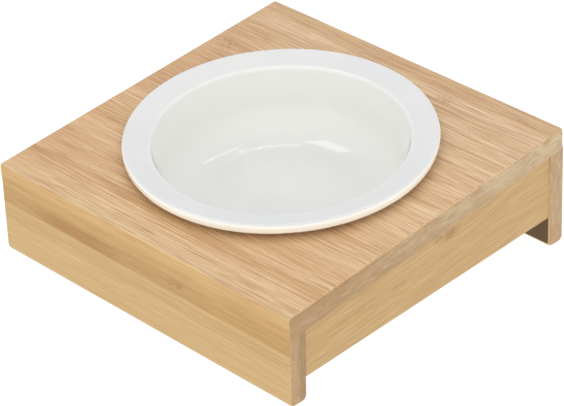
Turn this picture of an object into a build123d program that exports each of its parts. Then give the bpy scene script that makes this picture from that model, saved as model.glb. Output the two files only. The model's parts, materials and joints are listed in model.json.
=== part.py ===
from build123d import *
import math
import os

# Raised cat bowl. A glazed ceramic bowl hangs by its rim in a square-cornered bamboo stand,
# whose front leg is shorter than its back leg, so that the top board leans down to the front.
# Row frame in millimetres: +Z up, +X to the right, the low front towards -Y, ground at z = 0.
# The pieces are drawn in the board frame: its origin is the centre of the board's top face,
# +X runs along the board's grain, +Y up the slope and +Z square to the board.

# Stand
STAND_WIDTH = 177.6
BOARD_DEPTH = 180.0
BOARD_THICKNESS = 10.6
FRONT_HEIGHT = 46.4
BACK_HEIGHT = 62.3
LEG_THICKNESS = 10.0
FRONT_LEG_SPLAY = 2.4
BACK_LEG_PROUD = 0.6

# Side rails, which close the gap under the board between the legs
RAIL_THICKNESS = 9.0
RAIL_INSET = 0.9
RAIL_FRONT_DEPTH = 25.3
RAIL_BACK_DEPTH = 34.4

# Sanded edges
CORNER_RADIUS = 1.8
BOARD_EDGE_RADIUS = 1.5
HOLE_EDGE_RADIUS = 1.0
RAIL_EDGE_RADIUS = 0.7
FOOT_RADIUS = 3.0

# Hidden dowels in the glued joints
DOWEL_DIAMETER = 5.0
DOWEL_CHAMFER = 0.6
DOWEL_CLEARANCE = 0.05
DOWEL_END_GAP = 0.5
LEG_DOWEL_COUNT = 3
LEG_DOWEL_END_MARGIN = 24.0
LEG_DOWEL_IN_BOARD = 6.0
LEG_DOWEL_IN_LEG = 10.0
RAIL_DOWEL_COUNT = 2
RAIL_DOWEL_EDGE_MARGIN = 6.5
RAIL_DOWEL_IN_LEG = 6.0
RAIL_DOWEL_IN_RAIL = 11.0

# Bowl
RIM_DIAMETER = 142.0
RIM_THICKNESS = 4.7
RIM_EDGE_RADIUS = 1.7
RIM_RISE = 2.3
RIM_DISH = 3.1
LIP_DIAMETER = 116.6
LIP_RADIUS = 1.8
WALL_THICKNESS = 3.6
WALL_FLARE = 13.4
INSIDE_DEPTH = 32.0
INSIDE_FLOOR_FILLET = 22.0
FLOOR_THICKNESS = 4.4
COVE_RADIUS = 5.0
BASE_FILLET = 22.0
FOOT_RING_DIAMETER = 70.0
FOOT_RING_WIDTH = 4.5
FOOT_RING_HEIGHT = 2.4
FOOT_RING_ROUNDING = 1.0

# Fit of the bowl in its hole
HOLE_CLEARANCE = 0.6
SEAT_CLEARANCE = 0.3

# Worked out from the sizes above
TILT = math.atan2(BACK_HEIGHT - FRONT_HEIGHT, BOARD_DEPTH)
SPLAY = math.radians(FRONT_LEG_SPLAY)
FRONT_FACE = -BOARD_DEPTH / 2
BACK_FACE = BOARD_DEPTH / 2 + BACK_LEG_PROUD
FRONT_LEG_INSIDE = FRONT_FACE + LEG_THICKNESS
BACK_LEG_INSIDE = BACK_FACE - LEG_THICKNESS
BOARD_UNDERSIDE = -BOARD_THICKNESS
RAIL_CENTRE = STAND_WIDTH / 2 - RAIL_INSET - RAIL_THICKNESS / 2

# The bowl is drawn with z = 0 where the underside of its rising rim springs from the wall
FLARE = math.radians(WALL_FLARE)
RIM_RADIUS = RIM_DIAMETER / 2
LIP_INNER = LIP_DIAMETER / 2
RIM_TOP = RIM_RISE + RIM_THICKNESS
LIP_HEIGHT = RIM_TOP - RIM_DISH
INSIDE_FLOOR = LIP_HEIGHT - INSIDE_DEPTH
BASE_LEVEL = INSIDE_FLOOR - FLOOR_THICKNESS
FOOT_LEVEL = BASE_LEVEL - FOOT_RING_HEIGHT


def inside_wall_radius(z):
    return LIP_INNER - (LIP_HEIGHT - z) * math.tan(FLARE)


def outside_wall_radius(z):
    return inside_wall_radius(z) + WALL_THICKNESS / math.cos(FLARE)


HOLE_RADIUS = outside_wall_radius(0) + HOLE_CLEARANCE


def seat_height():
    """Height of the bowl's zero over the board, with its cove seated on the hole's edge."""
    root = outside_wall_radius(0)
    slope = math.atan2(RIM_RISE, RIM_RADIUS - root)
    corner = COVE_RADIUS / math.cos(FLARE + slope)
    cove_radius_from_axis = root + corner * (math.cos(slope) - math.sin(FLARE))
    cove_depth = corner * (math.cos(FLARE) - math.sin(slope))
    across = cove_radius_from_axis - HOLE_RADIUS - HOLE_EDGE_RADIUS
    reach = COVE_RADIUS - HOLE_EDGE_RADIUS - SEAT_CLEARANCE
    return cove_depth - HOLE_EDGE_RADIUS - math.sqrt(reach**2 - across**2)


def leg_face(y, z, lean):
    """Place along the slope of a leg's face that meets the board at y, at the height z."""
    return y + (z - BOARD_UNDERSIDE) * math.tan(lean)


def foot_level(y, lean):
    """Height at which that face meets the ground, which is level in the row frame."""
    run = leg_face(y, 0, lean) - FRONT_FACE
    return -(FRONT_HEIGHT + run * math.tan(TILT)) / (1 + math.tan(lean) * math.tan(TILT))


def rounded_face(plane, corners):
    """Closed outline of (point, corner radius) pairs, filled in on the given plane."""
    points = [point for point, _ in corners]
    radii = [radius for _, radius in corners]
    return plane * make_face(FilletPolyline(*points, radius=radii, close=True))


def evenly(first, last, count):
    return [first + (last - first) * i / (count - 1) for i in range(count)]


# Dowels and their holes

def dowel(length):
    pin = Cylinder(DOWEL_DIAMETER / 2, length)
    return chamfer(pin.edges().filter_by(GeomType.CIRCLE), DOWEL_CHAMFER)


def dowel_hole(length):
    return Cylinder(DOWEL_DIAMETER / 2 + DOWEL_CLEARANCE, length)


def leg_dowel_places():
    """Middle of each joint between a leg's top edge and the board, with +Z into the board."""
    reach = STAND_WIDTH / 2 - LEG_DOWEL_END_MARGIN
    middles = (FRONT_FACE + LEG_THICKNESS / 2, BACK_FACE - LEG_THICKNESS / 2)
    return [Pos(x, y, BOARD_UNDERSIDE) for y in middles for x in evenly(-reach, reach, LEG_DOWEL_COUNT)]


def rail_dowel_places():
    """Middle of each joint between a rail's end and a leg, with +Z into the leg."""
    joints = (
        (FRONT_LEG_INSIDE, SPLAY, RAIL_FRONT_DEPTH, 90),
        (BACK_LEG_INSIDE, 0, RAIL_BACK_DEPTH, -90),
    )
    places = []
    for inside, lean, depth, turn in joints:
        highest = BOARD_UNDERSIDE - RAIL_DOWEL_EDGE_MARGIN
        lowest = BOARD_UNDERSIDE - depth + RAIL_DOWEL_EDGE_MARGIN
        for z in evenly(highest, lowest, RAIL_DOWEL_COUNT):
            y = leg_face(inside, z, lean)
            places += [Pos(x, y, z) * Rot(turn, 0, 0) for x in (-RAIL_CENTRE, RAIL_CENTRE)]
    return places


def set_dowels(places, beyond, behind):
    """One dowel at each place, from the depth behind the joint to the depth beyond it."""
    pin = Pos(0, 0, (beyond - behind) / 2) * dowel(beyond + behind)
    return Compound([(place * pin).solid() for place in places])


def drilled(piece, places, beyond, behind):
    """The piece with a hole for every dowel, deeper than the dowel by the end gap."""
    low = -behind - DOWEL_END_GAP
    high = beyond + DOWEL_END_GAP
    hole = Pos(0, 0, (low + high) / 2) * dowel_hole(high - low)
    for place in places:
        piece -= place * hole
    return piece


def with_dowel_holes(piece):
    piece = drilled(piece, leg_dowel_places(), LEG_DOWEL_IN_BOARD, LEG_DOWEL_IN_LEG)
    return drilled(piece, rail_dowel_places(), RAIL_DOWEL_IN_LEG, RAIL_DOWEL_IN_RAIL)


# Stand

def make_top_board():
    board = Pos(0, 0, BOARD_UNDERSIDE / 2) * Box(STAND_WIDTH, BOARD_DEPTH, BOARD_THICKNESS)
    board = fillet(board.edges().filter_by(Axis.Z), CORNER_RADIUS)
    board = fillet(board.faces().sort_by(Axis.Z)[-1].edges(), BOARD_EDGE_RADIUS)
    board -= Pos(0, 0, BOARD_UNDERSIDE / 2) * Cylinder(HOLE_RADIUS, BOARD_THICKNESS)
    circles = board.edges().filter_by(GeomType.CIRCLE)
    hole_edges = circles.group_by(lambda edge: edge.radius)[-1]
    board = fillet(hole_edges, HOLE_EDGE_RADIUS)
    return with_dowel_holes(board)


def make_leg(outside, inside, lean):
    """Leg under one end of the board, with its foot cut level with the ground and well rounded."""
    outside_foot = foot_level(outside, lean)
    inside_foot = foot_level(inside, lean)
    corners = [
        ((outside, BOARD_UNDERSIDE), 0),
        ((leg_face(outside, outside_foot, lean), outside_foot), FOOT_RADIUS),
        ((leg_face(inside, inside_foot, lean), inside_foot), FOOT_RADIUS),
        ((inside, BOARD_UNDERSIDE), 0),
    ]
    leg = extrude(rounded_face(Plane.YZ, corners), STAND_WIDTH / 2, both=True)
    end_edges = leg.faces().filter_by(Axis.X).edges()
    glued_edges = end_edges.group_by(Axis.Z)[-1]
    leg = fillet(end_edges - glued_edges, CORNER_RADIUS)
    return with_dowel_holes(leg)


def make_rail(middle):
    """Tapered side board between the legs, with its lower long edges eased."""
    front_low = BOARD_UNDERSIDE - RAIL_FRONT_DEPTH
    back_low = BOARD_UNDERSIDE - RAIL_BACK_DEPTH
    corners = [
        ((FRONT_LEG_INSIDE, BOARD_UNDERSIDE), 0),
        ((BACK_LEG_INSIDE, BOARD_UNDERSIDE), 0),
        ((BACK_LEG_INSIDE, back_low), 0),
        ((leg_face(FRONT_LEG_INSIDE, front_low, SPLAY), front_low), 0),
    ]
    rail = extrude(rounded_face(Plane.YZ, corners), RAIL_THICKNESS / 2, both=True)
    lower_edges = rail.faces().sort_by(Axis.Z)[0].edges()
    rail = fillet(lower_edges.filter_by(Axis.X, reverse=True), RAIL_EDGE_RADIUS)
    return with_dowel_holes(Pos(middle, 0, 0) * rail)


# Bowl

def make_bowl():
    """Bowl turned from one outline: dished rim, lip, flared wall, floor and foot ring."""
    foot_outer = FOOT_RING_DIAMETER / 2
    foot_inner = foot_outer - FOOT_RING_WIDTH
    base_corner = outside_wall_radius(BASE_LEVEL)
    room = (base_corner - foot_outer - FOOT_RING_ROUNDING) * math.tan(math.pi / 4 + FLARE / 2)
    corners = [
        ((0, INSIDE_FLOOR), 0),
        ((inside_wall_radius(INSIDE_FLOOR), INSIDE_FLOOR), INSIDE_FLOOR_FILLET),
        ((LIP_INNER, LIP_HEIGHT), LIP_RADIUS),
        ((RIM_RADIUS, RIM_TOP), RIM_EDGE_RADIUS),
        ((RIM_RADIUS, RIM_RISE), RIM_EDGE_RADIUS),
        ((outside_wall_radius(0), 0), COVE_RADIUS),
        ((base_corner, BASE_LEVEL), min(BASE_FILLET, room)),
        ((foot_outer, BASE_LEVEL), FOOT_RING_ROUNDING),
        ((foot_outer, FOOT_LEVEL), FOOT_RING_ROUNDING),
        ((foot_inner, FOOT_LEVEL), FOOT_RING_ROUNDING),
        ((foot_inner, BASE_LEVEL), FOOT_RING_ROUNDING),
        ((0, BASE_LEVEL), 0),
    ]
    bowl = revolve(rounded_face(Plane.XZ, corners), Axis.Z)
    return Pos(0, 0, seat_height()) * bowl


# Assembly

def make_pieces():
    return {
        "top_board": make_top_board(),
        "front_leg": make_leg(FRONT_FACE, FRONT_LEG_INSIDE, SPLAY),
        "back_leg": make_leg(BACK_FACE, BACK_LEG_INSIDE, 0),
        "left_rail": make_rail(-RAIL_CENTRE),
        "right_rail": make_rail(RAIL_CENTRE),
        "leg_dowels": set_dowels(leg_dowel_places(), LEG_DOWEL_IN_BOARD, LEG_DOWEL_IN_LEG),
        "rail_dowels": set_dowels(rail_dowel_places(), RAIL_DOWEL_IN_LEG, RAIL_DOWEL_IN_RAIL),
        "bowl": make_bowl(),
    }


def stand_on_ground(pieces):
    """Lean the pieces from the board frame into the row frame, centred over the ground."""
    lean = Rot(math.degrees(TILT), 0, 0)
    leaned = {name: lean * piece for name, piece in pieces.items()}
    box = Compound(list(leaned.values())).bounding_box()
    frame = Pos(-(box.min.X + box.max.X) / 2, -(box.min.Y + box.max.Y) / 2, -box.min.Z) * lean
    return frame, {name: frame * piece for name, piece in pieces.items()}


frame, placed = stand_on_ground(make_pieces())
os.makedirs("parts", exist_ok=True)
for name, piece in placed.items():
    export_step(piece, f"parts/{name}.step")

print("tilt in degrees", math.degrees(TILT))
print("centre of the board's top face", frame.position)
print("bowl's zero over the board", seat_height(), "hole radius", HOLE_RADIUS)
for face, lean in ((FRONT_FACE, SPLAY), (FRONT_LEG_INSIDE, SPLAY), (BACK_LEG_INSIDE, 0), (BACK_FACE, 0)):
    foot = foot_level(face, lean)
    print("leg face meets the ground at", frame * Pos(0, leg_face(face, foot, lean), foot))
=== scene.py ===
import bpy
import json
import math
from mathutils import Matrix, Vector

# Raised cat bowl: a glazed ceramic bowl hangs in a slanted bamboo stand.
# Objects are in metres, in the row frame. Every pattern is laid out in millimetres in the board
# frame: x along the board's grain, y up its slope, z square to it, zero on the middle of its top face.

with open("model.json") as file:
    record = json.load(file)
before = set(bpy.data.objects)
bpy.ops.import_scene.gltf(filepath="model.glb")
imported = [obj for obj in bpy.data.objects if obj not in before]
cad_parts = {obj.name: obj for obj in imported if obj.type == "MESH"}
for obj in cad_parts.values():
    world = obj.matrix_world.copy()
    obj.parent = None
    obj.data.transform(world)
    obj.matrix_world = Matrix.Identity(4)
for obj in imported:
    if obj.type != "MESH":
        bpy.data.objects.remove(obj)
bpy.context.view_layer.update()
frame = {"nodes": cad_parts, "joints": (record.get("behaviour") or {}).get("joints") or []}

MM = 0.001
AXES = {"x": (1, 0, 0), "y": (0, 1, 0), "z": (0, 0, 1)}


def srgb(red, green, blue):
    """Linear colour, with alpha, of an 8-bit display colour."""
    def linear(value):
        value /= 255
        return value / 12.92 if value <= 0.04045 else ((value + 0.055) / 1.055) ** 2.4
    return (linear(red), linear(green), linear(blue), 1)


# The board frame, read from the lift joint's axis and the board's own corners

def square_to_board():
    """Direction of the lift joint's axis, which is square to the board."""
    return Vector(frame["joints"][0]["axis"]).normalized()


def span(points, direction):
    """Lowest and highest place of the points along a direction."""
    places = [point.dot(direction) for point in points]
    return min(places), max(places)


def board_frame():
    """Middle of the board's top face, the board's tilt about X, and its size in millimetres."""
    along = Vector(AXES["x"])
    square = square_to_board()
    slope = square.cross(along)
    corners = [vertex.co for vertex in frame["nodes"]["top_board"].data.vertices]
    left, right = span(corners, along)
    front, back = span(corners, slope)
    bottom, top = span(corners, square)
    middle = along * (left + right) / 2 + slope * (front + back) / 2 + square * top
    size = Vector((right - left, back - front, top - bottom)) / MM
    return middle, math.atan2(slope.z, slope.y), size


BOARD_MIDDLE, BOARD_TILT, BOARD_SIZE = board_frame()
HALF_WIDTH = BOARD_SIZE.x / 2
HALF_DEPTH = BOARD_SIZE.y / 2
BOARD_THICKNESS = BOARD_SIZE.z


# Shader graphs take values in groups:
# a fade is where it starts and where it is full, then, if not 0 and 1, what it gives at each;
# a band is its two ends and the soft width inside them;
# a noise is a factor for each of three parts of a point, then its scale, detail and roughness;
# a layer is the fade of a noise, how much of a shade it lays on, and that shade;
# a relief is the strength and the height of a bump.

FACING_FADE = (0.55, 0.85)


class Graph:
    """The shader nodes of a material or of the world. Arguments are sockets or plain values."""

    def __init__(self, owner):
        owner.use_nodes = True
        self.owner = owner
        self.nodes = owner.node_tree.nodes
        self.links = owner.node_tree.links
        self.nodes.clear()

    def node(self, kind, inputs=(), **settings):
        made = self.nodes.new(kind)
        for key, value in settings.items():
            setattr(made, key, value)
        for key, value in dict(inputs).items():
            if isinstance(value, bpy.types.NodeSocket):
                self.links.new(value, made.inputs[key])
            else:
                made.inputs[key].default_value = value
        return made

    def math(self, operation, first, second=0.0):
        return self.node("ShaderNodeMath", {0: first, 1: second}, operation=operation).outputs[0]

    def add(self, first, second):
        return self.math("ADD", first, second)

    def subtract(self, first, second):
        return self.math("SUBTRACT", first, second)

    def multiply(self, first, second):
        return self.math("MULTIPLY", first, second)

    def divide(self, first, second):
        return self.math("DIVIDE", first, second)

    def dot(self, vector, direction):
        made = self.node("ShaderNodeVectorMath", {0: vector, 1: direction}, operation="DOT_PRODUCT")
        return made.outputs["Value"]

    def fade(self, value, low, high, to_low=0.0, to_high=1.0):
        """Smooth step of value from low to high."""
        ends = {"Value": value, "From Min": low, "From Max": high, "To Min": to_low, "To Max": to_high}
        return self.node("ShaderNodeMapRange", ends, interpolation_type="SMOOTHSTEP").outputs[0]

    def band(self, value, low, high, soft):
        """One from low to high, fading out over the soft width inside both ends."""
        return self.multiply(self.fade(value, low, low + soft), self.fade(value, high, high - soft))

    def split(self, vector):
        return self.node("ShaderNodeSeparateXYZ", {0: vector}).outputs

    def join(self, x, y, z):
        return self.node("ShaderNodeCombineXYZ", {0: x, 1: y, 2: z}).outputs[0]

    def noise(self, vector, scale, detail=2.0, roughness=0.5):
        ends = {"Vector": vector, "Scale": scale, "Detail": detail, "Roughness": roughness}
        return self.node("ShaderNodeTexNoise", ends).outputs[0]

    def pattern(self, parts, kind):
        """Noise over a point given as three parts, each times its own factor."""
        factors, scale, detail, roughness = kind
        scaled = [self.multiply(part, factor) for part, factor in zip(parts, factors)]
        return self.noise(self.join(*scaled), scale, detail, roughness)

    def random(self, value):
        return self.node("ShaderNodeTexWhiteNoise", {"W": value}, noise_dimensions="1D").outputs[0]

    def mix(self, factor, first, second):
        return self.node("ShaderNodeMix", {0: factor, 6: first, 7: second}, data_type="RGBA").outputs[2]

    def lay(self, colour, noise, layer, strength=1.0):
        """Lay a shade over the colour where the noise passes the layer's fade."""
        fade, amount, shade = layer
        where = self.fade(noise, *fade)
        return self.mix(self.multiply(where, self.multiply(strength, amount)), colour, shade)

    def board_coordinates(self):
        """The point in the board frame, in millimetres."""
        point = self.node("ShaderNodeTexCoord").outputs["Object"]
        place = {"Location": BOARD_MIDDLE, "Rotation": (BOARD_TILT, 0, 0), "Scale": (MM, MM, MM)}
        return self.node("ShaderNodeMapping", {"Vector": point, **place}, vector_type="TEXTURE").outputs[0]

    def toward(self, direction):
        """How squarely the surface faces towards a direction of the board frame."""
        normal = self.node("ShaderNodeTexCoord").outputs["Normal"]
        return self.dot(normal, Matrix.Rotation(BOARD_TILT, 3, "X") @ Vector(direction))

    def facing(self, axis):
        """One where the surface faces along an axis of the board frame, either way."""
        return self.fade(self.math("ABSOLUTE", self.toward(AXES[axis])), *FACING_FADE)

    def bump(self, height, strength, distance):
        ends = {"Height": height, "Strength": strength, "Distance": distance}
        return self.node("ShaderNodeBump", ends).outputs[0]

    def surface(self, inputs):
        """Finish the material with one principled shader."""
        shader = self.node("ShaderNodeBsdfPrincipled", inputs)
        self.node("ShaderNodeOutputMaterial", {"Surface": shader.outputs[0]}, is_active_output=True)
        return self.owner


def new_graph(name):
    return Graph(bpy.data.materials.new(name))


# Bamboo, glued from strips. Each strip has its own random number, which sets its tone and moves its
# fibres along. Knuckles bend the fibres and are specked across the grain.

STRIP_SEED = 0.37
SHIFT_PER_STRIP = 900.0
BROAD_NOISE = ((1 / 90, 0.5, 0.1), 0.55, 2.0, 0.5)
BROAD_PART = 0.5
TONE_FADE = (0.15, 0.75)

SWIRL_NOISE = ((1, 1, 1), 0.45, 1.0, 0.5)
SWIRL_MIDDLE = 0.5
SWIRL_SIZE = 5.0
SPECK_NOISE = ((1.6, 0.7, 1), 1.0, 2.0, 0.5)
SPECK_FADE = (0.42, 0.62)
KNUCKLE_DARK = srgb(140, 92, 48)
KNUCKLE_CORE = 0.2
STAIN_CORE = 0.4

FINE_NOISE = ((1 / 70, 1, 1), 3.0, 2.0, 0.6)
MIDDLE_NOISE = ((1 / 70, 1, 1), 0.75, 2.0, 0.6)
HAIR_NOISE = ((1 / 130, 1, 1), 4.8, 1.0, 0.5)
FIBRE_DARK = srgb(158, 108, 62)
STREAK_LAYER = ((0.50, 0.72), 0.30, srgb(190, 144, 92))
DARK_FIBRE_LAYER = ((0.52, 0.64), 0.46, FIBRE_DARK)
PALE_FIBRE_LAYER = ((0.46, 0.34), 0.45, srgb(242, 216, 172))
HAIR_LAYER = ((0.54, 0.59), 0.58, FIBRE_DARK)

# Dark end-grain tone, also laid on as painted shade near the bottom of the top board's end grain
END_DARK_AND_PAINTED_SHADE = srgb(160, 122, 80)
END_PALE = srgb(214, 188, 148)
END_CLOUD_NOISE = ((0, 1, 1), 0.06, 2.0, 0.5)
END_CLOUD_LAYER = ((0.45, 0.60), 0.30, END_DARK_AND_PAINTED_SHADE)
END_PLY_NOISE = ((0, 0.22, 1), 0.55, 3.0, 0.6)
DARK_PLY_LAYER = ((0.48, 0.66), 0.50, END_DARK_AND_PAINTED_SHADE)
PALE_PLY_LAYER = ((0.50, 0.32), 0.30, END_PALE)
END_STRIP_AMOUNT = 0.18
END_DOT_NOISE = ((0, 1, 1), 2.0, 2.0, 0.7)
DARK_DOT_LAYER = ((0.50, 0.66), 0.28, srgb(134, 98, 60))
PALE_DOT_LAYER = ((0.48, 0.34), 0.22, END_PALE)

FINE_RELIEF_PART = 0.6
MIDDLE_RELIEF_PART = 0.4
BAMBOO_RELIEF = (0.25, 0.12 * MM)
BAMBOO_ROUGHNESS = (0.3, 0.7, 0.44, 0.56)
BAMBOO_IOR = 1.46


class Bamboo(Graph):
    """A board of bamboo strips. axes names the board frame's axes along its grain, across its strips
    and into it, and glue_line is where one glue line lies across the strips. A knuckle is its middle
    along, its middle across, half its length and half its width."""

    def __init__(self, name, axes, strip_width, glue_line, knuckles):
        super().__init__(bpy.data.materials.new(name))
        self.axes = axes
        self.board = dict(zip("xyz", self.split(self.board_coordinates())))
        self.point = [self.board[axis] for axis in axes]
        self.along, self.across, self.deep = self.point
        strip = self.math("FLOOR", self.divide(self.subtract(self.across, glue_line), strip_width))
        self.strip_random = self.random(self.add(strip, STRIP_SEED))
        self.knuckle = self.nearest_knuckle(knuckles)
        self.bent = self.bend()
        self.fine, self.middle, self.hair = self.fibre_noises()

    def spot(self, place, core):
        """Nearness to an oval spot, from 0 outside it to 1 within its core, a part of its half size."""
        middle, level, half_length, half_width = place
        along = self.divide(self.subtract(self.along, middle), half_length)
        across = self.divide(self.subtract(self.across, level), half_width)
        squares = self.add(self.multiply(along, along), self.multiply(across, across))
        return self.fade(self.math("SQRT", squares), 1.0, core)

    def nearest_knuckle(self, knuckles):
        """Nearness to the nearest knuckle, from 0 to 1."""
        nearness = 0.0
        for place in knuckles:
            nearness = self.math("MAXIMUM", nearness, self.spot(place, KNUCKLE_CORE))
        return nearness

    def bend(self):
        """The place across the strips, swirled round the knuckles."""
        swirl = self.subtract(self.pattern(self.point, SWIRL_NOISE), SWIRL_MIDDLE)
        return self.add(self.across, self.multiply(self.multiply(swirl, self.knuckle), SWIRL_SIZE))

    def fibre_noises(self):
        """Fine, middle and hair noise of the fibres, moved by each strip's number."""
        shift = self.multiply(self.strip_random, SHIFT_PER_STRIP)
        moved = (self.add(self.along, shift), self.bent, self.add(self.deep, shift))
        return [self.pattern(moved, kind) for kind in (FINE_NOISE, MIDDLE_NOISE, HAIR_NOISE)]

    def strip_tones(self, low, high):
        """Colour between two tones: each strip has its own, with broad soft changes over the board."""
        broad = self.multiply(self.pattern(self.point, BROAD_NOISE), BROAD_PART)
        tone = self.add(self.multiply(self.strip_random, 1 - BROAD_PART), broad)
        return self.mix(self.fade(tone, *TONE_FADE), low, high)

    def stripe(self, colour, ends, edges, shade, amount):
        """Lay a stretch of strip over the colour, between a band along and a band across."""
        inside = self.multiply(self.band(self.along, *ends), self.band(self.across, *edges))
        return self.mix(self.multiply(inside, amount), colour, shade)

    def stain(self, colour, place, shade, amount):
        """Lay a soft spot over the colour, with a place like a knuckle's."""
        return self.mix(self.multiply(self.spot(place, STAIN_CORE), amount), colour, shade)

    def fibres(self, colour, strength):
        """Streaks, dark and pale fibres and thin dark hairs over the colour."""
        colour = self.lay(colour, self.middle, STREAK_LAYER, strength)
        colour = self.lay(colour, self.fine, DARK_FIBRE_LAYER, strength)
        colour = self.lay(colour, self.fine, PALE_FIBRE_LAYER, strength)
        return self.lay(colour, self.hair, HAIR_LAYER, strength)

    def specks(self, colour, amount):
        """Dark specks on the knuckles, across the grain."""
        noise = self.pattern((self.along, self.bent, self.deep), SPECK_NOISE)
        where = self.multiply(self.knuckle, self.fade(noise, *SPECK_FADE))
        return self.mix(self.multiply(where, amount), colour, KNUCKLE_DARK)

    def end_plies(self, front, back):
        """Cut ends, greyer than the faces, with soft plies along the strips' width."""
        colour = self.mix(self.fade(self.board["y"], -HALF_DEPTH, HALF_DEPTH), front, back)
        colour = self.lay(colour, self.pattern(self.point, END_CLOUD_NOISE), END_CLOUD_LAYER)
        plies = self.pattern(self.point, END_PLY_NOISE)
        colour = self.lay(colour, plies, DARK_PLY_LAYER)
        colour = self.lay(colour, plies, PALE_PLY_LAYER)
        return self.mix(self.multiply(self.strip_random, END_STRIP_AMOUNT), colour, END_PALE)

    def end_dots(self, colour):
        """Fibre ends as dots on the cut ends."""
        dots = self.pattern(self.point, END_DOT_NOISE)
        colour = self.lay(colour, dots, DARK_DOT_LAYER)
        return self.lay(colour, dots, PALE_DOT_LAYER)

    def finish(self, faces, ends):
        """The material, from the colours of the faces along the grain and of the cut ends."""
        fine = self.multiply(self.fine, FINE_RELIEF_PART)
        relief = self.add(fine, self.multiply(self.middle, MIDDLE_RELIEF_PART))
        return self.surface({
            "Base Color": self.mix(self.facing(self.axes[0]), faces, ends),
            "Roughness": self.fade(self.middle, *BAMBOO_ROUGHNESS),
            "IOR": BAMBOO_IOR,
            "Normal": self.bump(relief, *BAMBOO_RELIEF),
        })


# Top board: narrow side-pressed strips, paler to the back, with a pale one along the front edge

TOP_STRIP = 5.6
END_SOFTNESS = 1.0
WHOLE_LENGTH = (-HALF_WIDTH - END_SOFTNESS, HALF_WIDTH + END_SOFTNESS, END_SOFTNESS)
FRONT_STRIPE = (-HALF_DEPTH, -HALF_DEPTH + TOP_STRIP, 0.4)
BACK_STRIPE_WIDTH = 11.0
BACK_SOFTNESS = 3.0
BACK_STRIPE = (HALF_DEPTH - BACK_STRIPE_WIDTH, HALF_DEPTH + BACK_SOFTNESS, BACK_SOFTNESS)
BACK_FADE = (-HALF_DEPTH, HALF_DEPTH, 0.0, 0.4)
STAIN_BROWN = srgb(196, 152, 108)

# The front and back edges are yellower, darker below, and their fibres are weaker
EDGE_FADE = (-4.0, -7.0)
EDGE_STRENGTH = (0.0, 1.0, 1.0, 0.5)

# Darkening of the board's end grain, by height in the board frame and by place up the slope; near the
# bottom it is painted shade along the joint over the rail
TOP_SHADE_HEIGHT = (-6.5, -1.5)
TOP_SHADE_SLOPE = (-25, -55, 0.0, 0.30)
# Painted shade near the bottom of the end grain, along the joint over the rail
PAINTED_JOINT_SHADE_HEIGHT = (-5.5, -9.5)
PAINTED_JOINT_SHADE_FRONT = (-60, -20, 0.16, 0.28)
PAINTED_JOINT_SHADE_BACK = (60, 20, 0.6, 1.0)


def end_darkening_and_painted_shade(g):
    """How dark the board's end grain is: darker near the top at the front, and painted shade near the
    bottom further back, along the joint over the rail.
    """
    slope, height = g.board["y"], g.board["z"]
    top = g.multiply(g.fade(height, *TOP_SHADE_HEIGHT), g.fade(slope, *TOP_SHADE_SLOPE))
    bottom = g.multiply(g.fade(slope, *PAINTED_JOINT_SHADE_FRONT), g.fade(slope, *PAINTED_JOINT_SHADE_BACK))
    return g.add(top, g.multiply(g.fade(height, *PAINTED_JOINT_SHADE_HEIGHT), bottom))


def top_bamboo():
    g = Bamboo("top_bamboo", "xyz", TOP_STRIP, -HALF_DEPTH, ((-80, 47, 9, 11), (33, 75, 7, 6)))
    colour = g.strip_tones(srgb(212, 169, 121), srgb(228, 191, 146))
    colour = g.mix(g.fade(g.across, *BACK_FADE), colour, srgb(224, 202, 174))
    colour = g.stripe(colour, WHOLE_LENGTH, FRONT_STRIPE, srgb(222, 196, 154), amount=0.5)
    colour = g.stripe(colour, WHOLE_LENGTH, BACK_STRIPE, srgb(186, 142, 98), amount=0.42)
    colour = g.stain(colour, (-80, 34, 45, 52), STAIN_BROWN, amount=0.42)
    colour = g.stain(colour, (-88, -66, 36, 24), STAIN_BROWN, amount=0.40)
    colour = g.stain(colour, (84, 0, 30, 66), srgb(236, 202, 160), amount=0.35)

    on_edge = g.facing("y")
    edge = g.mix(g.fade(g.deep, *EDGE_FADE), srgb(208, 169, 110), srgb(198, 157, 98))
    colour = g.mix(on_edge, colour, edge)
    colour = g.fibres(colour, strength=g.fade(on_edge, *EDGE_STRENGTH))
    colour = g.specks(colour, amount=0.3)

    ends = g.end_plies(srgb(170, 134, 88), srgb(203, 180, 144))
    # End grain darker near the top at the front, with painted shade near its bottom over the rail joint
    ends = g.mix(end_darkening_and_painted_shade(g), ends, END_DARK_AND_PAINTED_SHADE)
    return g.finish(colour, g.end_dots(ends))


# Legs: wide flat-pressed strips. The strip under the board is darker, with a brown streak in it,
# the faces that look in under the board get painted shade, and the front leg's ends show a darker inner
# ply.

LEG_STRIP = 9.1
LEG_GLUE_LINE = -19.7
# Painted shade on the legs' faces that look in under the board
PAINTED_INSIDE_SHADE_FADE = (-0.86, -0.98, 0.0, 0.95)
PAINTED_INSIDE_SHADE = srgb(78, 50, 6)
FRONT_LEG_LEAN = math.tan(math.radians(2.4))
INNER_PLY = (3.4, 12.0, 3.2)
INNER_PLY_AMOUNT = 0.60
INNER_PLY_DARK = srgb(150, 114, 74)


def painted_shade_inside(g):
    """How much painted shade a leg's face gets that looks in under the board."""
    outward = g.multiply(g.toward(AXES["y"]), g.math("SIGN", g.board["y"]))
    return g.fade(outward, *PAINTED_INSIDE_SHADE_FADE)


def inner_ply(g):
    """How dark the inner ply is, by depth behind the front leg's outer face, which leans out."""
    lean = g.multiply(g.add(g.board["z"], BOARD_THICKNESS), FRONT_LEG_LEAN)
    depth = g.subtract(g.add(g.board["y"], HALF_DEPTH), lean)
    return g.multiply(g.band(depth, *INNER_PLY), INNER_PLY_AMOUNT)


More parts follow.
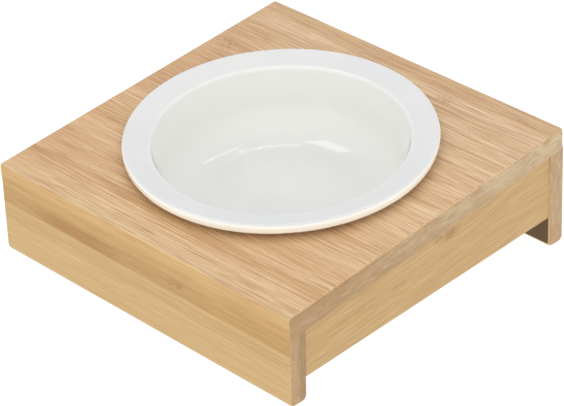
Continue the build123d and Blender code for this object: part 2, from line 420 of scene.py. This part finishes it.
def leg_bamboo():
    g = Bamboo("leg_bamboo", "xzy", LEG_STRIP, LEG_GLUE_LINE, ((22, -14, 8, 4),))
    colour = g.strip_tones(srgb(198, 161, 104), srgb(206, 173, 118))
    colour = g.stripe(colour, (-96, 96, 8.0), (-20.3, -9.6, 1.6), srgb(176, 132, 66), amount=0.62)
    colour = g.stripe(colour, WHOLE_LENGTH, (-30, -19.0, 4.0), srgb(192, 154, 96), amount=0.45)
    colour = g.stripe(colour, (-76, -2, 26.0), (-20.0, -11.6, 1.9), srgb(158, 110, 48), amount=0.58)
    colour = g.fibres(colour, strength=0.45)
    colour = g.specks(colour, amount=0.6)
    # Painted shade on the faces that look in under the board
    colour = g.mix(painted_shade_inside(g), colour, PAINTED_INSIDE_SHADE)

    ends = g.end_plies(srgb(178, 142, 98), srgb(180, 148, 108))
    ends = g.mix(inner_ply(g), ends, INNER_PLY_DARK)
    return g.finish(colour, g.end_dots(ends))


# Rails: flat-pressed strips up the slope, with a dark knuckle and two smooth brown stains

RAIL_STRIP = 12.0
RAIL_GLUE_LINE = -34.0


def rail_bamboo():
    knuckles = ((12, -14.5, 5, 3.8), (4, -13.5, 4, 2.5))
    g = Bamboo("rail_bamboo", "yzx", RAIL_STRIP, RAIL_GLUE_LINE, knuckles)
    colour = g.strip_tones(srgb(185, 147, 91), srgb(197, 163, 108))
    colour = g.stain(colour, (-22, -24, 7, 6), srgb(186, 136, 82), amount=0.20)
    colour = g.stain(colour, (12, -14, 9, 5), srgb(176, 128, 76), amount=0.40)
    colour = g.fibres(colour, strength=0.6)
    colour = g.specks(colour, amount=0.9)
    ends = g.end_plies(srgb(178, 142, 98), srgb(180, 148, 108))
    return g.finish(colour, g.end_dots(ends))


# Beech of the hidden dowels

FLECK_NOISE = ((1.5, 1.5, 0.3), 1.2, 2.0, 0.5)
BEECH_PALE = srgb(222, 192, 152)
FLECK_LAYER = ((0.45, 0.7), 1.0, srgb(188, 146, 104))
BEECH_ROUGHNESS = 0.6
BEECH_RELIEF = (0.2, 0.1 * MM)


def beech(name):
    """Plain pale beech, with short flecks."""
    g = new_graph(name)
    fleck = g.pattern(g.split(g.board_coordinates()), FLECK_NOISE)
    return g.surface({
        "Base Color": g.lay(BEECH_PALE, fleck, FLECK_LAYER),
        "Roughness": BEECH_ROUGHNESS,
        "Normal": g.bump(fleck, *BEECH_RELIEF),
    })


# Glaze. Its tones change at these distances from the bowl's axis: the floor and the rim keep a grey glaze,
# the wall up to the lip is painted lighter against the shade inside the bowl, and the rim's edge is
# painted near white and cream, a painted highlight with a painted reflection of the bamboo. The foot
# ring's lower face is bare clay.

def bowl_span(direction):
    """Lowest and highest place of the bowl along a direction, in millimetres of the board frame."""
    points = [vertex.co - BOARD_MIDDLE for vertex in frame["nodes"]["bowl"].data.vertices]
    lowest, highest = span(points, direction)
    return lowest / MM, highest / MM


RIM_RADIUS = bowl_span(Vector(AXES["x"]))[1]
FOOT_LEVEL = bowl_span(square_to_board())[0]
FLOOR_GLAZE = srgb(224, 225, 223)
GLAZE_RINGS_WITH_PAINTED_LIGHT = {
    # The wall, up to the lip, is painted lighter against the shade inside the bowl
    "wall": ((34.0, 52.0), srgb(238, 239, 235)),
    "lip": ((58.0, 58.4), srgb(236, 236, 234)),
    "rim": ((58.6, 60.0), srgb(223, 223, 224)),
    # The rim's edge is painted near white and cream: a painted highlight and a painted reflection of the
    # bamboo
    "rim edge": ((RIM_RADIUS - 1.0, RIM_RADIUS - 0.1), srgb(254, 252, 243)),
}
CLOUD_SCALE = 0.035
CLOUD_LAYER = ((0.35, 0.65), 0.25, srgb(236, 236, 233))
RIPPLE_SCALE = 0.12
GLAZE_ROUGHNESS = (0.3, 0.7, 0.05, 0.09)
GLAZE_RELIEF = (0.1, 0.2 * MM)
GLAZE_IOR = 1.5
GLAZE_COAT = 0.5
GLAZE_COAT_ROUGHNESS = 0.03
BARE_FADE = (FOOT_LEVEL + 0.5, FOOT_LEVEL + 0.25)
BARE_ROUGHNESS = 0.5
GRIT_SCALE = 2.5
CLAY_PALE = srgb(222, 212, 196)
GRIT_LAYER = ((0.4, 0.65), 1.0, srgb(206, 192, 172))


def glaze(name):
    g = new_graph(name)
    point = g.board_coordinates()
    x, y, height = g.split(point)
    radius = g.math("SQRT", g.add(g.multiply(x, x), g.multiply(y, y)))
    ripple = g.noise(point, RIPPLE_SCALE, detail=1.0)
    bare = g.fade(height, *BARE_FADE)

    colour = FLOOR_GLAZE
    for fade, shade in GLAZE_RINGS_WITH_PAINTED_LIGHT.values():
        colour = g.mix(g.fade(radius, *fade), colour, shade)
    colour = g.lay(colour, g.noise(point, CLOUD_SCALE), CLOUD_LAYER)
    clay = g.lay(CLAY_PALE, g.noise(point, GRIT_SCALE), GRIT_LAYER)
    glossy = g.fade(ripple, *GLAZE_ROUGHNESS)
    return g.surface({
        "Base Color": g.mix(bare, colour, clay),
        "Roughness": g.add(glossy, g.multiply(bare, BARE_ROUGHNESS)),
        "IOR": GLAZE_IOR,
        "Coat Weight": GLAZE_COAT,
        "Coat Roughness": GLAZE_COAT_ROUGHNESS,
        "Normal": g.bump(ripple, *GLAZE_RELIEF),
    })


def dress(nodes, material):
    for name in nodes:
        mesh = frame["nodes"][name].data
        mesh.materials.clear()
        mesh.materials.append(material)


def dress_all():
    dress(["top_board"], top_bamboo())
    dress(["front_leg", "back_leg"], leg_bamboo())
    dress(["left_rail", "right_rail"], rail_bamboo())
    dress(["leg_dowels", "rail_dowels"], beech("dowel_wood"))
    dress(["bowl"], glaze("white_glaze"))


# Studio: a glowing pale floor, a light tent and four softboxes

FLOOR_HALF_SIZE = 3.0
FLOOR_TINT_SCALE = 0.004
FLOOR_DARK = srgb(94, 94, 94)
FLOOR_PALE = srgb(98, 98, 98)
FLOOR_ROUGHNESS = 0.9
FLOOR_GLOW = 0.95
WHITE = (1, 1, 1, 1)

# The tent is even from above, a little darker at the horizon, stronger and warmer in front
TENT_HEIGHT_LIGHT = (0.0, 0.6, 0.78, 0.89)
TENT_FRONT = Vector((0.6, -0.75, 0.25)).normalized()
TENT_FRONT_LIGHT = (0.2, 0.9, 0.0, 0.40)
TENT_TINT_FADE = (-0.6, 0.6)
COOL = (0.96, 0.98, 1.0, 1)
WARM = (1.0, 0.995, 0.975, 1)

# Each softbox: place, size, power and its turn in degrees. They show as streaks and arcs in the bowl.
LAMP_TARGET = (0, 0, 0.05)
SOFTBOXES = {
    "back_strip": ((0.10, 0.60, 1.2), (0.09, 0.50), 0.26, 0),
    "left_strip": ((-0.60, -0.11, 1.25), (0.34, 0.42), 0.85, -28),
    "near_arc": ((-0.280, 0.300, 1.25), (0.42, 0.014), 0.14, 0),
    "far_arc": ((-0.345, 0.371, 1.21), (0.34, 0.014), 0.11, 0),
}

# Camera, from a fit of a pinhole camera to the stand's edges in the photograph
CAMERA_PLACE = (0.6770, -0.7303, 0.6416)
CAMERA_TARGET = (0.0096, -0.0124, 0.0324)
CAMERA_ROLL = 0.696
CAMERA_LENS = 165.15
CAMERA_NEAREST = 0.01
SENSOR_WIDTH = 36.0


def add_object(name, data):
    made = bpy.data.objects.new(name, data)
    bpy.context.scene.collection.objects.link(made)
    return made


def add_floor():
    half = FLOOR_HALF_SIZE
    corners = [(-half, -half, 0), (half, -half, 0), (half, half, 0), (-half, half, 0)]
    mesh = bpy.data.meshes.new("floor")
    mesh.from_pydata(corners, [], [range(4)])
    floor = add_object("floor", mesh)
    g = new_graph("pale_floor")
    tint = g.noise(g.board_coordinates(), FLOOR_TINT_SCALE)
    mesh.materials.append(g.surface({
        "Base Color": g.mix(tint, FLOOR_DARK, FLOOR_PALE),
        "Roughness": FLOOR_ROUGHNESS,
        "Emission Color": WHITE,
        "Emission Strength": FLOOR_GLOW,
    }))


def aimed(place, target, roll):
    """Matrix of an object that looks from its place at the target, turned by degrees about that line."""
    turn = (Vector(target) - Vector(place)).to_track_quat("-Z", "Y").to_matrix()
    turn = turn @ Matrix.Rotation(math.radians(roll), 3, "Z")
    return Matrix.Translation(place) @ turn.to_4x4()


def add_world():
    world = bpy.data.worlds.new("studio")
    bpy.context.scene.world = world
    g = Graph(world)
    direction = g.node("ShaderNodeTexCoord").outputs["Generated"]
    above = g.fade(g.split(direction)["Z"], *TENT_HEIGHT_LIGHT)
    front = g.dot(direction, TENT_FRONT)
    strength = g.add(above, g.fade(front, *TENT_FRONT_LIGHT))
    tint = g.mix(g.fade(front, *TENT_TINT_FADE), COOL, WARM)
    background = g.node("ShaderNodeBackground", {"Color": tint, "Strength": strength})
    g.node("ShaderNodeOutputWorld", {"Surface": background.outputs[0]}, is_active_output=True)


def add_softboxes():
    for name, (place, size, power, roll) in SOFTBOXES.items():
        light = bpy.data.lights.new(name, "AREA")
        light.shape = "RECTANGLE"
        light.size, light.size_y = size
        light.energy = power
        add_object(name, light).matrix_world = aimed(place, LAMP_TARGET, roll)


def add_camera():
    data = bpy.data.cameras.new("camera")
    data.sensor_width = SENSOR_WIDTH
    data.lens = CAMERA_LENS
    data.clip_start = CAMERA_NEAREST
    camera = add_object("camera", data)
    camera.matrix_world = aimed(CAMERA_PLACE, CAMERA_TARGET, CAMERA_ROLL)
    bpy.context.scene.camera = camera


dress_all()
add_floor()
add_world()
add_softboxes()
add_camera()
bpy.context.scene.view_settings.view_transform = "Standard"
